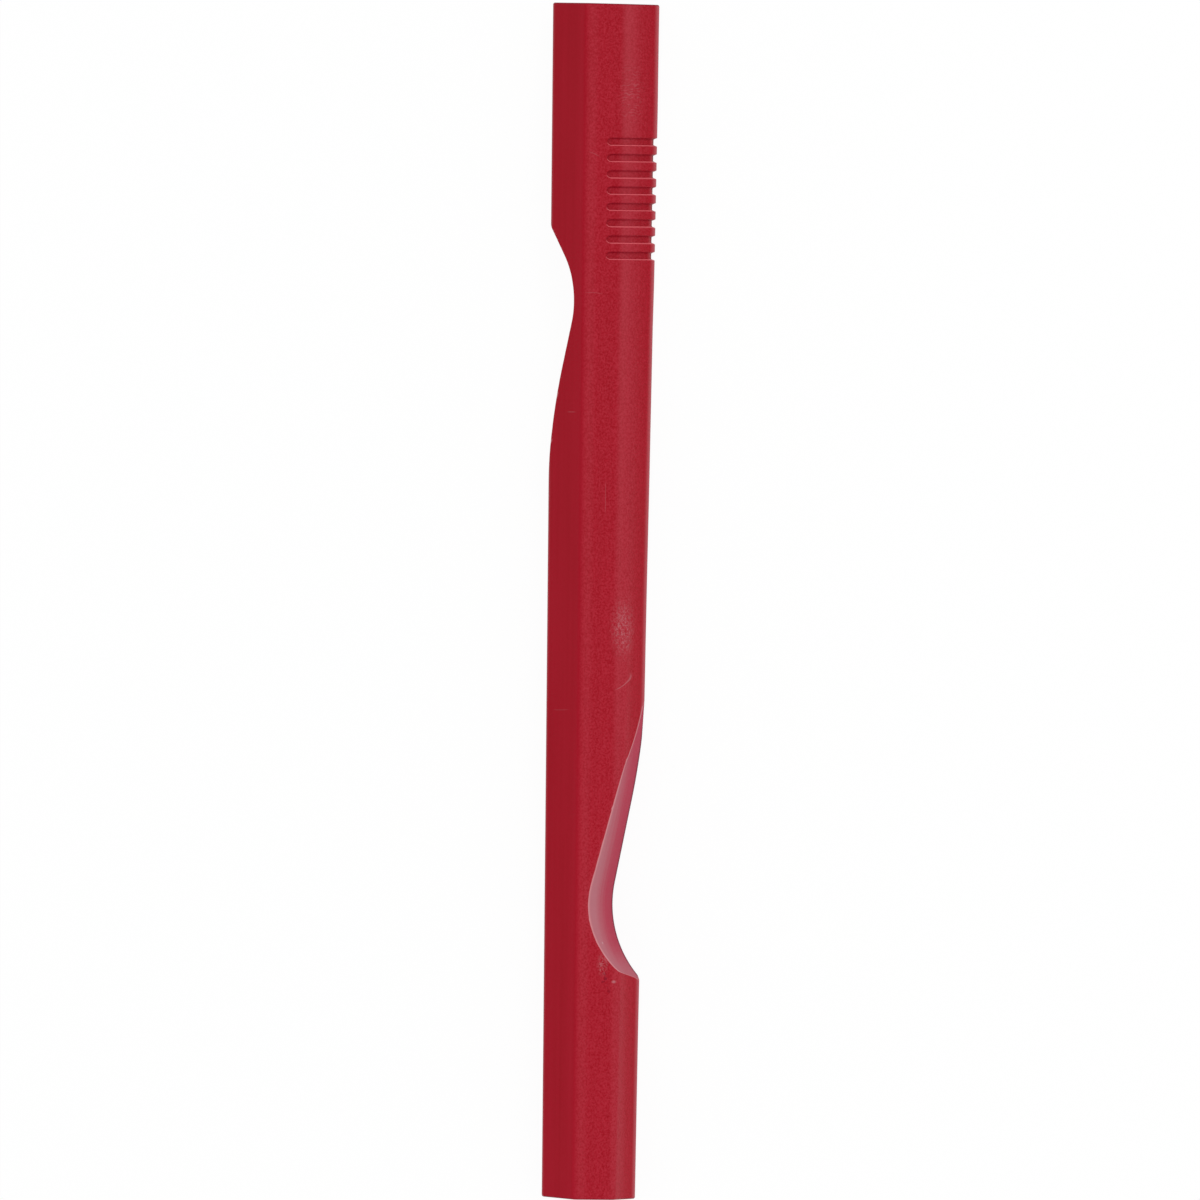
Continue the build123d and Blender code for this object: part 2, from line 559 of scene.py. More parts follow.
    def left_arcs(self, y: Array, wall_x: Array, facet: Side) -> dict[str, Arc]:
        """Foot, edge and shoulder on the left, where the wide end's notch moves the wall inwards.

        The broken edge is a small circle that touches the wall and either the shoulder's arc, which
        it then cuts short, or the facet past that arc.

        Args:
            y: Stations along the bar.
            wall_x: X of the uncut wall.
            facet: The left facet.

        Returns:
            The three arcs by name, in order.
        """
        west, south = np.full_like(y, math.pi), np.full_like(y, 1.5 * math.pi)
        cut = self.wide_notch.cut(y, self.half)
        cut_x = wall_x + cut
        foot_r = self.foot_radius(cut)
        edge_r = self.edge_break(y, self.left_seed)
        arc_x, arc_z = Side.through(west, wall_x, 0.0).circle(facet, self.left_shoulder_r)
        _, facet_z = Side.through(west, cut_x, 0.0).circle(facet, edge_r)
        inner = self.left_shoulder_r - edge_r
        aside = cut_x + edge_r - arc_x
        on_arc = aside <= inner * np.cos(facet.normal)
        rise = np.sqrt(np.maximum(inner**2 - aside**2, 0.0))
        edge_x, edge_z = cut_x + edge_r, np.where(on_arc, arc_z + rise, facet_z)
        met = np.where(on_arc, np.arctan2(rise, aside), facet.normal)
        return {
            "left_foot": Arc(cut_x + foot_r, foot_r, foot_r, south, west),
            "left_edge": Arc(edge_x, edge_z, edge_r, west, met),
            "left_shoulder": Arc(
                np.where(on_arc, arc_x, edge_x), np.where(on_arc, arc_z, edge_z),
                np.where(on_arc, self.left_shoulder_r, edge_r), met, facet.normal,
            ),
        }

    def right_arcs(
        self, y: Array, base_x: Array, facet: Side, wall: Side, shoulder_r: Array
    ) -> dict[str, Arc]:
        """Shoulder, edge and foot on the right, where the slim end's notch cuts an upright wall.

        The broken edge is a small circle that touches the upright wall and, by the depth of the
        cut, the leaning wall, the shoulder's arc or the facet.

        Args:
            y: Stations along the bar.
            base_x: X where the leaning wall would meet the back.
            facet: The right facet.
            wall: The leaning wall.
            shoulder_r: Radius of the shoulder.

        Returns:
            The three arcs by name, in order.
        """
        east, down = np.zeros_like(y), np.full_like(y, -math.pi / 2)
        arc_x, arc_z = facet.circle(wall, shoulder_r)
        foot_x, _ = wall.circle(Side.through(down, 0.0, 0.0), self.back_corner_r)
        widest = foot_x + self.back_corner_r
        cut_x = np.minimum(base_x - self.slim_notch.cut(y, self.half), widest)
        bitten = widest - cut_x
        edge_r = self.edge_break(y, self.right_seed)
        edge_r = edge_r + (self.back_corner_r - edge_r) * ramp(-bitten, -self.edge_fade, 0.0)
        foot_r = self.foot_radius(bitten)
        upright = Side.through(east, cut_x, 0.0)
        _, wall_z = wall.circle(upright, edge_r)
        _, facet_z = facet.circle(upright, edge_r)
        inner = shoulder_r - edge_r
        aside = cut_x - edge_r - arc_x
        on_wall = aside >= inner * np.cos(wall.normal)
        on_facet = aside <= inner * np.cos(facet.normal)
        rise = np.sqrt(np.maximum(inner**2 - aside**2, 0.0))
        edge_x = cut_x - edge_r
        edge_z = np.where(on_wall, wall_z, np.where(on_facet, facet_z, arc_z + rise))
        met = np.where(on_facet, facet.normal, np.arctan2(rise, aside))
        met = np.where(on_wall, wall.normal, met)
        return {
            "right_shoulder": Arc(
                np.where(on_facet, edge_x, arc_x), np.where(on_facet, edge_z, arc_z),
                np.where(on_facet, edge_r, shoulder_r), facet.normal, met,
            ),
            "right_edge": Arc(edge_x, edge_z, edge_r, met, east),
            "right_foot": Arc(cut_x - foot_r, foot_r, foot_r, east, down),
        }

    def outline(self, arcs: dict[str, Arc], cut: dict[str, Array], inset: Array) -> list[Array]:
        """The section in fixed columns: each arc's points, then the straight stretch to the next.

        Args:
            arcs: The arcs by name, in order.
            cut: How far each row is milled on the left and on the right, from 0 to 1.
            inset: How far each row lies below the skin.

        Returns:
            X, Z, the normal's angle, and the milled and edge marks, each with rows by columns.
        """
        blocks = []
        names = list(arcs)
        for name, following in zip(names, names[1:] + names[:1]):
            arc_points, line_points = POINTS[name]
            share = cut["left" if name.startswith("left") else "right"][:, None]
            x, z, angle = arcs[name].points(arc_points, inset)
            blank = np.zeros_like(x)
            on_foot, on_edge = (blank + share * name.endswith(kind) for kind in ("_foot", "_edge"))
            blocks.append((x, z, angle, on_foot, on_edge))
            if line_points:
                next_x, next_z, _ = arcs[following].points(2, inset)
                line_x = between(x[:, -1:], next_x[:, :1], line_points)
                line_z = between(z[:, -1:], next_z[:, :1], line_points)
                blank = np.zeros_like(line_x)
                on_wall = blank + share * (name in ("left_foot", "right_edge"))
                blocks.append((line_x, line_z, blank + angle[:, -1:], on_wall, blank))
        return [np.concatenate(parts, axis=1) for parts in zip(*blocks)]

    def shoulder_rub_and_highlight(self, x: Array, z: Array) -> Array:
        """Rub and painted highlight of the right shoulder, by the distance along the section past its
        first column.

        Args:
            x: X of the points, with rows by columns.
            z: Z of the points.

        Returns:
            The rub and painted highlight, from 0 to 1.
        """
        names = list(POINTS)
        first = sum(sum(POINTS[name]) for name in names[: names.index("right_shoulder")])
        steps = np.hypot(np.diff(x, axis=1), np.diff(z, axis=1))
        past = np.concatenate([np.zeros((len(x), 1)), np.cumsum(steps, axis=1)], axis=1)
        return hump(past - past[:, first : first + 1], *self.shoulder_rub_and_highlight_hump)

    def grid(self, y: Array, inset: Array) -> dict[str, Array]:
        """Points and marks of every row, with the grooves sunk in along the skin's normal.

        On the leaning wall and below it a groove goes in sideways, so that it stays straight.

        Args:
            y: Station of each row.
            inset: How far each row lies below the skin, as on a rounded end edge.

        Returns:
            Arrays x, y, z, milled, edge, shoulder and sunk, each with rows by columns.
        """
        arcs = self.chain(y)
        right_height = arcs["right_edge"].z - arcs["right_foot"].z
        cut = {
            "left": ramp(self.wide_notch.cut(y, self.half), *self.left_milled),
            "right": ramp(right_height, *self.right_milled),
        }
        x, z, angle, milled, edge = self.outline(arcs, cut, inset)
        right_up = math.radians(90.0 - self.right_slope)
        # Painted rim highlights, low on the right wall and on the left shoulder, join the edge mark
        outer = (angle < right_up) & (z > 0.0)
        foot_rim_highlight = self.foot_rim_highlight * outer * (1.0 - milled) * (1.0 - ramp(z, *self.foot_rim_highlight_heights))
        left_rim_highlight = self.left_rim_highlight * hump(np.degrees(angle), *self.left_rim_highlight_angles)
        marks = {
            "milled": milled,
            "edge": np.maximum(edge, np.maximum(foot_rim_highlight, left_rim_highlight)),
            # The shoulder mark: a smoother rubbed finish, and a painted highlight in the colour
            "shoulder": self.shoulder_rub_and_highlight(x, z),
        }

        row_y = np.repeat(y[:, None], x.shape[1], axis=1)
        from_ridge = np.where(angle <= right_up + SLACK, x - self.ridge_x, -np.inf)
        sunk = self.grooves.sunk(from_ridge, row_y, self.half)
        # The sunk mark carries the grooves' painted shade and highlight, not their depth
        marks["sunk"] = self.grooves.shade(sunk, row_y, self.half)
        lean = arcs["right_edge"].first[:, None]
        below = angle < lean - SLACK
        x = x - sunk * np.where(below, 1.0 / np.cos(lean), np.cos(angle))
        z = z - sunk * np.where(below, 0.0, np.sin(angle))

        back_x, back_z = (between(a[:, -1:], a[:, :1], self.back_columns) for a in (x, z))
        blank = np.zeros_like(back_x)
        grid = {name: np.hstack([values, blank]) for name, values in marks.items()}
        whole = {"x": np.hstack([x, back_x]), "y": np.hstack([row_y, blank + y[:, None]])}
        return whole | {"z": np.hstack([z, back_z])} | grid

    def capped_grid(self) -> dict[str, Array]:
        """The rows between the ends, the rounded end edges, and flat rings that close each end.

        An end edge is a quarter circle: with turn a, a row lies r (1 - cos a) below the skin and
        r (1 - sin a) short of the end. A ring is the last row drawn towards its own middle, and
        plain. Last, each end is turned a little out of square.

        Returns:
            The same arrays as grid, from the slim end to the wide end, and end: 0 on the bar, up
            to broken_end on the broken edges and 1 on the flat faces.
        """
        middle = self.stations()
        plain = np.zeros_like(middle)
        turn = np.linspace(math.pi / 2, 0.0, self.end_rows, endpoint=False)
        end_y = self.half - self.end_edge_r * (1 - np.sin(turn))
        end_inset = self.end_edge_r * (1 - np.cos(turn))
        grid = self.grid(
            np.concatenate([-end_y, middle, end_y[::-1]]),
            np.concatenate([end_inset, plain, end_inset[::-1]]),
        )
        broken = self.broken_end * np.concatenate([np.sin(turn), plain, np.sin(turn)[::-1]])
        grid["end"] = np.repeat(broken[:, None], grid["x"].shape[1], axis=1)
        steps = np.linspace(0.0, 1.0, self.cap_rings, endpoint=False)
        shares = steps[:, None] ** self.ring_power + self.rim_share
        for name, values in grid.items():
            slim_rings, wide_rings = (
                rim.mean() + (rim - rim.mean()) * (1 - shares) for rim in (values[0], values[-1])
            )
            if name in MARKS:
                slim_rings = wide_rings = np.full_like(slim_rings, float(name == "end"))
            grid[name] = np.vstack([slim_rings[::-1], values, wide_rings])
        for sign, tilt in ((-1, self.slim_tilt), (1, self.wide_tilt)):
            near = ramp(sign * grid["y"], self.half - self.tilt_reach, self.half - self.end_edge_r)
            grid["y"] = grid["y"] + math.tan(math.radians(tilt)) * grid["x"] * near
        return grid

    def build(self) -> bpy.types.Object:
        """Puts the grid into a mesh: a quad between neighbouring points, a fan to each end's middle.

        Returns:
            The closed skin, with its marks as point attributes.
        """
        grid = self.capped_grid()
        rows, columns = grid["x"].shape
        points = np.stack([grid["x"], grid["y"], grid["z"]], axis=-1).reshape(-1, 3) * MM
        middles = np.array([ring.mean(axis=0) for ring in (points[:columns], points[-columns:])])
        index = np.arange(rows * columns).reshape(rows, columns)
        ahead = np.roll(index, -1, axis=1)
        quads = np.stack([index[:-1], ahead[:-1], ahead[1:], index[1:]], axis=-1).reshape(-1, 4)
        slim_fan = np.stack([ahead[0], index[0], np.full(columns, rows * columns)], axis=-1)
        wide_fan = np.stack([index[-1], ahead[-1], np.full(columns, rows * columns + 1)], axis=-1)
        faces = quads.tolist() + slim_fan.tolist() + wide_fan.tolist()
        mesh = bpy.data.meshes.new("bar_skin")
        mesh.from_pydata(np.concatenate([points, middles]), [], faces)
        for name in MARKS:
            at_middles = [float(name == "end")] * len(middles)
            amounts = np.concatenate([grid[name].ravel(), at_middles]).astype(np.float32)
            mesh.attributes.new(name, "FLOAT", "POINT").data.foreach_set("value", amounts)
        work = bmesh.new()
        work.from_mesh(mesh)
        bmesh.ops.remove_doubles(work, verts=work.verts, dist=WELD * MM)
        bmesh.ops.dissolve_degenerate(work, edges=work.edges, dist=SLIVER * MM)
        bmesh.ops.recalc_face_normals(work, faces=work.faces)
        work.to_mesh(mesh)
        work.free()
        mesh.shade_smooth()
        return stand("bar_skin", mesh)


@dataclass(frozen=True)
class Noise:
    """Noise about 0.5: features to a millimetre along each axis, octaves of detail, and swirl."""

    stretch: Place
    detail: float = 2.0
    swirl: float = 0.0


@dataclass(frozen=True)
class Desk:
    """A material's node tree, with short ways to add the few kinds of node that a finish needs."""

    tree: bpy.types.NodeTree

    def feed(self, node: bpy.types.Node, name: str | int, value: Amount | tuple) -> None:
        """Links a socket to a node's input, or sets the input to a plain value.

        Args:
            node: The node.
            name: Name or order of its input.
            value: The socket or the plain value.
        """
        if isinstance(value, Socket):
            self.tree.links.new(value, node.inputs[name])
        else:
            node.inputs[name].default_value = value

    def node(self, kind: str, inputs: dict[str | int, Amount | tuple], **settings: str) -> Outputs:
        """Adds a node with its settings and inputs.

        Args:
            kind: Blender's name of the node's type, after ShaderNode.
            inputs: Sockets and plain values, by the name or order of the input.
            settings: The node's own properties.

        Returns:
            The node's outputs.
        """
        node = self.tree.nodes.new("ShaderNode" + kind)
        for name, value in settings.items():
            setattr(node, name, value)
        for name, value in inputs.items():
            self.feed(node, name, value)
        return node.outputs

    def math(self, operation: str, first: Amount, second: Amount = 0.0) -> Socket:
        """One sum of two values, by the name of Blender's operation."""
        return self.node("Math", {0: first, 1: second}, operation=operation)[0]

    def total(self, *values: Amount) -> Socket:
        """All the values added up."""
        return reduce(lambda first, second: self.math("ADD", first, second), values)

    def product(self, *values: Amount) -> Socket:
        """All the values multiplied."""
        return reduce(lambda first, second: self.math("MULTIPLY", first, second), values)

    def line(self, value: Socket, gain: float, base: float) -> Socket:
        """The value times a gain, plus a base."""
        return self.total(self.product(value, gain), base)

    def swing(self, noise: Socket, gain: Amount) -> Socket:
        """How far a noise is above its middle, times a gain."""
        return self.product(self.math("SUBTRACT", noise, 0.5), gain)

    def step(self, value: Socket, zero: float, one: float) -> Socket:
        """Smooth step of a value.

        Args:
            value: The value.
            zero: Where the step is 0, and past it.
            one: Where it is 1, and past it.

        Returns:
            The step, rising or falling.
        """
        low, high = (0.0, 1.0) if zero < one else (1.0, 0.0)
        inputs = {"Value": value, "From Min": min(zero, one), "From Max": max(zero, one)}
        inputs |= {"To Min": low, "To Max": high}
        return self.node("MapRange", inputs, interpolation_type="SMOOTHSTEP")["Result"]

    def vector(self, operation: str, first: Socket, second: Place) -> Outputs:
        """Outputs of one sum of a vector and a fixed one, by the name of Blender's operation."""
        return self.node("VectorMath", {0: first, 1: second}, operation=operation)

    def noise(self, place: Socket, kind: Noise) -> Socket:
        """The noise at a place in millimetres."""
        inputs = {"Vector": self.vector("MULTIPLY", place, kind.stretch)["Vector"], "Scale": 1.0}
        return self.node("TexNoise", inputs | {"Detail": kind.detail, "Distortion": kind.swirl})["Fac"]

    def blend(self, share: Socket, first: Socket | Colour, second: Socket | Colour) -> Socket:
        """Colour between two, by a share from 0 to 1. Inputs 6 and 7 of a Mix node are its colours."""
        first, second = ((*c, 1.0) if isinstance(c, tuple) else c for c in (first, second))
        return self.node("Mix", {0: share, 6: first, 7: second}, data_type="RGBA")[2]

    def mark(self, name: str) -> Socket:
        """Amount of a point attribute of the skin."""
        return self.node("Attribute", {}, attribute_name=name)["Fac"]

    def seen(self) -> Socket:
        """One for rays from the camera and for mirror and glass rays, else zero.

        Returns:
            The one or zero.
        """
        rays = self.node("LightPath", {})
        direct = self.math("MAXIMUM", rays["Is Camera Ray"], rays["Is Glossy Ray"])
        return self.math("MAXIMUM", direct, rays["Is Transmission Ray"])


@dataclass(frozen=True)
class Spot:
    """A point of the skin as the finishes read it: its place in millimetres, X from the ridge, its
    X, Y and Z apart, how far it is over to the right of the ridge, two noises and two marks.
    """

    desk: Desk
    place: Socket
    aside: Socket
    along: Socket
    height: Socket
    rightwards: Socket
    grain: Socket
    drawn: Socket
    milled: Socket
    shoulder: Socket

    def flat_distance(self, centre: Span) -> Socket:
        """Distance from a centre, seen from above."""
        flat = self.desk.vector("MULTIPLY", self.place, (1.0, 1.0, 0.0))["Vector"]
        return self.desk.vector("DISTANCE", flat, (*centre, 0.0))["Value"]


@dataclass(frozen=True)
class Patch:
    """Oval patch of the skin, by its middle and half sizes: X from the ridge, Y along the bar, Z up."""

    x: float
    y: float
    half_x: float
    half_y: float
    z: float = 0.0
    half_z: float = 1000.0

    def share(self, spot: Spot, soft: float = 0.4) -> Socket:
        """One in the patch's middle, smoothly down to zero at its rim.

        Args:
            spot: The point of the skin.
            soft: Share of the half size at which the fall begins.

        Returns:
            The patch's strength.
        """
        desk = spot.desk
        aside = desk.vector("SUBTRACT", spot.place, (self.x, self.y, self.z))["Vector"]
        by_half = (1 / self.half_x, 1 / self.half_y, 1 / self.half_z)
        scaled = desk.vector("MULTIPLY", aside, by_half)["Vector"]
        length = desk.node("VectorMath", {0: scaled}, operation="LENGTH")["Value"]
        return desk.step(length, 1.0, soft)


@dataclass(frozen=True)
class Scuff:
    """A rubbed patch: whitish where a coarse noise is high, by so much at most."""

    patch: Patch
    strength: float
    solid: float = 0.0

    def share(self, spot: Spot, ragged: Socket) -> Socket:
        """The patch times the ragged noise, which counts as no less than solid."""
        filled = spot.desk.math("MAXIMUM", ragged, self.solid)
        return spot.desk.product(self.patch.share(spot, 0.0), filled, self.strength)


@dataclass(frozen=True)
class Scratch:
    """A hair-thin arc within a patch: all points whose distance from its centre is near its radius."""

    patch: Patch
    centre: Span
    radius: float
    width: float
    strength: float
    core: float = 0.3

    def share(self, spot: Spot) -> Socket:
        """Strength on the line, zero off it or outside its patch.

        Args:
            spot: The point of the skin.

        Returns:
            The scratch's strength.
        """
        desk = spot.desk
        off = desk.math("ABSOLUTE", desk.math("SUBTRACT", spot.flat_distance(self.centre), self.radius))
        line = desk.step(off, self.width, self.width * self.core)
        return desk.product(line, self.strength, self.patch.share(spot))


@dataclass(frozen=True)
class DrawnSkin:
    """The bar's own face: mottled, most to the right of the ridge, with a painted sheen there and
    painted highlights on the shoulder and the ridge's crest.

    A pair with a gain and a base says how a strength grows to the right of the ridge or along the
    bar, where the gain counts from its middle to its wide end.
    """

    half: float
    deep: Colour = (0.288, 0.0002, 0.0075)
    lit: Colour = (0.366, 0.0045, 0.0175)
    # Pale haze: the colour of the painted sheen and highlights, and of the dust
    haze_and_sheen: Colour = (0.42, 0.05, 0.07)

    pores: Noise = Noise((7.0, 6.4, 7.0), 1.0)
    clouds: Noise = Noise((0.16, 0.05, 0.16))
    grain_swing: Span = (1.45, 0.5)
    pore_swing: float = 2.2
    drawn_swing: float = 0.5
    cloud_swing: float = 0.3
    # The tone along the bar holds a painted light, brighter towards the slim end; the tone left of the
    # ridge is a painted light that softens the ridge's shading step
    tone_and_light_along: Span = (-0.1, 0.5)
    left_of_ridge: Span = (-3.2, -0.2)
    ridge_side_light: float = 0.16

    # Dust in the grain with a painted sheen, a painted highlight on the shoulder and one on the ridge's
    # crest
    dust_and_sheen: float = 0.25
    dust_and_sheen_grain: Span = (0.28, 0.76)
    dust_and_sheen_heights: Span = (0.5, 4.5)
    shoulder_rub_and_highlight: Span = (0.05, 0.22)
    crest_highlight: float = 0.12
    crest_x: float = 0.55
    crest_width: Span = (1.15, 0.3)
    crest_heights: Span = (8.0, 9.5)

    def lengthwise(self, spot: Spot, gain: float, base: float) -> Socket:
        """A base plus a gain that counts from the bar's middle to its wide end."""
        return spot.desk.line(spot.along, gain / self.half, base)

    def red(self, spot: Spot) -> Socket:
        """Red between deep and lit: the tone, with its painted light towards the slim end and just left
        of the ridge, plus the swings of grain, pores, lines and clouds.

        Args:
            spot: The point of the skin.

        Returns:
            The colour.
        """
        desk = spot.desk
        grain = desk.swing(spot.grain, desk.line(spot.rightwards, *self.grain_swing))
        pore_gain = desk.product(spot.rightwards, self.pore_swing)
        pores = desk.swing(desk.noise(spot.place, self.pores), pore_gain)
        lines = desk.swing(spot.drawn, self.drawn_swing)
        clouds = desk.swing(desk.noise(spot.place, self.clouds), self.cloud_swing)
        # Painted light just left of the ridge, and along the bar towards the slim end
        near = desk.math("SUBTRACT", desk.step(spot.aside, *self.left_of_ridge), spot.rightwards)
        tone = desk.total(self.lengthwise(spot, *self.tone_and_light_along), desk.product(near, self.ridge_side_light))
        share = desk.total(grain, pores, lines, clouds, tone)
        return desk.blend(desk.step(share, 0.0, 1.0), self.deep, self.lit)

    def colour(self, spot: Spot) -> Socket:
        """The red under a pale haze: dust in the grain with a painted sheen, a painted highlight on the
        rubbed shoulder, and a painted highlight on the ridge's crest.

        Args:
            spot: The point of the skin.

        Returns:
            The colour.
        """
        desk = spot.desk
        # Dust in the grain, right of the ridge and higher up, with a painted sheen
        dust_and_sheen = desk.product(
            spot.rightwards, desk.step(spot.grain, *self.dust_and_sheen_grain), self.dust_and_sheen,
            desk.step(spot.height, *self.dust_and_sheen_heights),
        )
        # Painted highlight on the rubbed right shoulder, stronger towards the wide end
        shoulder = desk.product(spot.shoulder, self.lengthwise(spot, *self.shoulder_rub_and_highlight))
        # Painted highlight along the ridge's crest
        from_crest = desk.math("ABSOLUTE", desk.math("SUBTRACT", spot.aside, self.crest_x))
        on_top = desk.step(spot.height, *self.crest_heights)
        crest = desk.product(desk.step(from_crest, *self.crest_width), on_top, self.crest_highlight)
        return desk.blend(desk.total(dust_and_sheen, shoulder, crest), self.red(spot), self.haze_and_sheen)


@dataclass(frozen=True)
class MilledWalls:
    """Notch walls with a painted reflection, greyest towards the ridge side and on the steep flank by
    the slim end, and a painted shadow along their foot.
    """

    # Painted reflection at the top of the walls, their own red at the back, a painted shadow at their
    # foot, and a pale colour for rubbed edges and painted rim highlights
    front_reflection: Colour = (0.43, 0.145, 0.175)
    rear: Colour = (0.41, 0.045, 0.08)
    foot: Colour = (0.16, 0.015, 0.04)
    rubbed: Colour = (0.62, 0.27, 0.30)
    streaks: Noise = Noise((0.1, 0.1, 3.2), 3.0)
    streak_swing: float = 3.0
    front_heights: Span = (2.2, 8.0)
    flank_along: Span = (-51.0, -56.0)
    flank_reflection_share: float = 0.6
    foot_shadow_heights: Span = (0.8, 0.15)
    rubbed_and_rim_highlight_share: float = 0.75

    def colour(self, spot: Spot, colour: Socket) -> Socket:
        """The walls' colour with its painted reflection and painted shadow, and over all the pale
        edges:
        rubbed, with painted highlights, and the painted rim highlights.

        Args:
            spot: The point of the skin.
            colour: The skin's colour so far.

        Returns:
            The colour with its milled walls, pale edges and painted rim highlights.
        """
        desk = spot.desk
        streaks = desk.swing(desk.noise(spot.place, self.streaks), self.streak_swing)
        uneven = desk.total(spot.height, streaks)
        # Painted reflection, fading from the top of the wall towards the back, its edge moved by
        # streaks
        wall = desk.blend(desk.step(uneven, *self.front_heights), self.rear, self.front_reflection)
        # Painted reflection on the steep flank by the slim end
        flank = desk.product(desk.step(spot.along, *self.flank_along), self.flank_reflection_share)
        wall = desk.blend(flank, wall, self.front_reflection)
        # Painted shadow along the foot of the walls
        wall = desk.blend(desk.step(spot.height, *self.foot_shadow_heights), wall, self.foot)
        # Pale edges: the broken notch edges, rubbed and with a painted highlight, and the painted rim
        # highlights
        rubbed = desk.product(desk.mark("edge"), self.rubbed_and_rim_highlight_share)
        return desk.blend(rubbed, desk.blend(spot.milled, colour, wall), self.rubbed)


@dataclass(frozen=True)
class Wear:
    """Whitish scuffs, scratches and cutter chatter, and dark specks by the slim end's notch."""

    pale: Colour = (0.56, 0.34, 0.37)
    scuffs: tuple[Scuff, ...] = (
        Scuff(Patch(4.9, -5.6, 1.7, 3.3, z=5.5, half_z=3.0), 0.24),
        Scuff(Patch(4.7, -4.0, 2.4, 6.0, z=5.7, half_z=3.4), 0.26),
        Scuff(Patch(3.1, -54.6, 1.1, 2.3, z=8.2, half_z=1.6), 0.3),
        Scuff(Patch(4.4, -57.2, 0.45, 0.35, z=6.9, half_z=0.6), 0.5, solid=0.7),
        Scuff(Patch(2.43, -51.4, 0.35, 0.3, z=6.7, half_z=0.4), 0.6, solid=1.0),
    )
    scuff_noise: Noise = Noise((3.6, 3.0, 3.6), swirl=0.8)
    scuff_levels: Span = (0.42, 0.64)
    scratches: tuple[Scratch, ...] = (
        Scratch(Patch(5.1, -12.2, 1.6, 1.9), (3.21, -11.05), 2.4, 0.085, 0.18),
        Scratch(Patch(-3.9, -16.4, 2.0, 0.8), (-5.0, 10.0), 26.4, 0.09, 0.07),
        Scratch(Patch(-2.35, 28.5, 1.0, 0.4), (-2.35, 328.5), 300.0, 0.08, 0.15),
        Scratch(Patch(1.1, 67.4, 0.9, 0.9), (-0.6, 64.4), 3.4, 0.09, 0.08),
        Scratch(Patch(1.2, 46.4, 1.3, 0.6), (0.7, 40.0), 6.5, 0.09, 0.07),
        Scratch(Patch(2.8, 15.6, 0.5, 3.0), (-300.0, 15.6), 302.8, 0.08, 0.07),
    )
    front_heights: Span = (1.5, 3.0)

    chatter: Patch = Patch(5.2, 76.3, 1.7, 6.4)
    chatter_soft: float = 0.2
    chatter_centre: Span = (5.2, 66.0)
    chatter_pitch: float = 0.5
    chatter_share: float = 0.09
    chatter_shift: Noise = Noise((0.7, 0.7, 0.7), 1.0)
    chatter_swing: float = 1.6
    chatter_gaps: Noise = Noise((1.3, 1.3, 1.3), 1.0)
    chatter_levels: Span = (0.36, 0.62)

    specks: Patch = Patch(3.5, -57.4, 1.0, 2.6, z=7.6, half_z=2.0)
    speck_noise: Noise = Noise((1.7, 1.7, 1.7), 1.0)
    speck_levels: Span = (0.56, 0.68)
    speck_share: float = 0.5

    def ripples(self, spot: Spot) -> Socket:
        """Faint broken rings about one centre, a pitch apart, within the chatter's patch.

        Args:
            spot: The point of the skin.

        Returns:
            Their strength, from 0 to 1.
        """
        desk = spot.desk
        shift = desk.product(desk.noise(spot.place, self.chatter_shift), self.chatter_swing)
        far = desk.total(spot.flat_distance(self.chatter_centre), shift)
        wave = desk.math("SINE", desk.product(far, 2 * math.pi / self.chatter_pitch))
        unbroken = desk.step(desk.noise(spot.place, self.chatter_gaps), *self.chatter_levels)
        patch = self.chatter.share(spot, self.chatter_soft)
        return desk.product(desk.step(wave, 0.0, 1.0), unbroken, patch)

    def colour(self, spot: Spot, colour: Socket) -> Socket:
        """The colour with its marks: the strongest pale mark counts, over the dark specks.

        All but the scuffs are drawn as seen from above, so they fade out towards the back.

        Args:
            spot: The point of the skin.
            colour: The skin's colour so far.

        Returns:
            The colour with its marks.
        """
        desk = spot.desk
        worn = desk.product(self.ripples(spot), self.chatter_share)
        for scratch in self.scratches:
            worn = desk.math("MAXIMUM", worn, scratch.share(spot))
        worn = desk.product(worn, desk.step(spot.height, *self.front_heights))
        ragged = desk.step(desk.noise(spot.place, self.scuff_noise), *self.scuff_levels)
        for scuff in self.scuffs:
            worn = desk.math("MAXIMUM", worn, scuff.share(spot, ragged))
        dark = desk.step(desk.noise(spot.place, self.speck_noise), *self.speck_levels)
        specks = desk.product(dark, self.specks.share(spot), self.speck_share)
        return desk.blend(worn, desk.blend(specks, colour, DARK_RED), self.pale)


